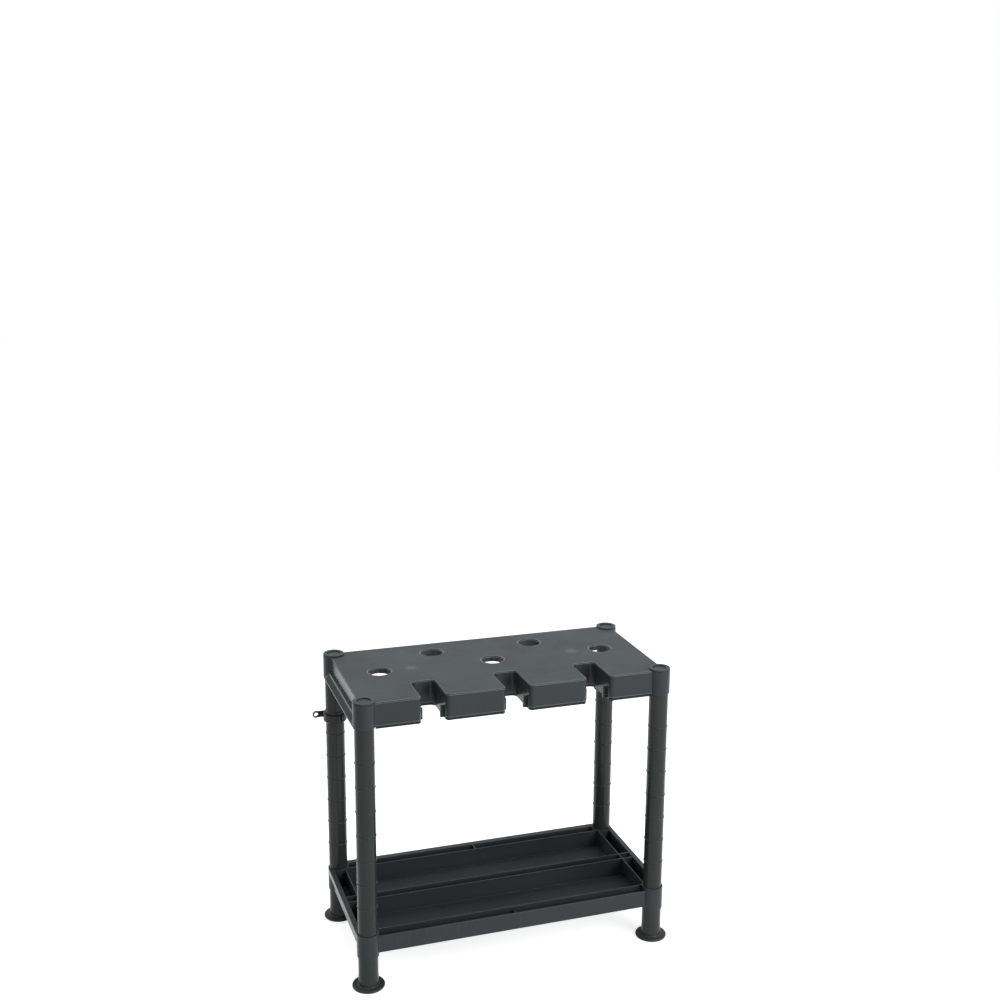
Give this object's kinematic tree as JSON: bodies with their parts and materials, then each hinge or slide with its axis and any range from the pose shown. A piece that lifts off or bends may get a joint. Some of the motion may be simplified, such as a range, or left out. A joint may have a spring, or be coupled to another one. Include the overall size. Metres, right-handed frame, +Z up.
{
  "type": "garden tool rack",
  "caption": "Freestanding plastic rack for long garden tools: a notched, holed shelf and an open tray on tubular posts with splayed feet and wall ties.",
  "frame": {"origin": "on the ground under the middle of the rack", "axes": "+X along the rack to the right as seen from its notched front, +Y to its rear, +Z up"},
  "size_m": [0.6852, 0.344, 0.59],
  "materials": {
    "shelf": "fine matt grain",
    "tray": "fine matt grain",
    "post": "satin, drawn lengthwise",
    "foot": "satin",
    "cap": "satin",
    "tie": "satin"
  },
  "bodies": {
    "rack": {"top_shelf": "shelf", "bottom_tray": "tray", "post_front_left": "post", "foot_front_left": "foot", "cap_front_left": "cap", "post_front_right": "post", "foot_front_right": "foot", "cap_front_right": "cap", "post_rear_left": "post", "foot_rear_left": "foot", "cap_rear_left": "cap", "post_rear_right": "post", "foot_rear_right": "foot", "cap_rear_right": "cap"},
    "wall_tie_left": {"wall_tie_left": "tie"},
    "wall_tie_right": {"wall_tie_right": "tie"}
  },
  "joints": [
    {"name": "wall_tie_left_turn", "type": "hinge", "parent": "rack", "child": "wall_tie_left", "pos_m": [-0.3, 0.14, 0.452], "axis": [0, 0, 1], "continuous": true},
    {"name": "wall_tie_right_turn", "type": "hinge", "parent": "rack", "child": "wall_tie_right", "pos_m": [0.3, 0.14, 0.452], "axis": [0, 0, 1], "continuous": true}
  ]
}
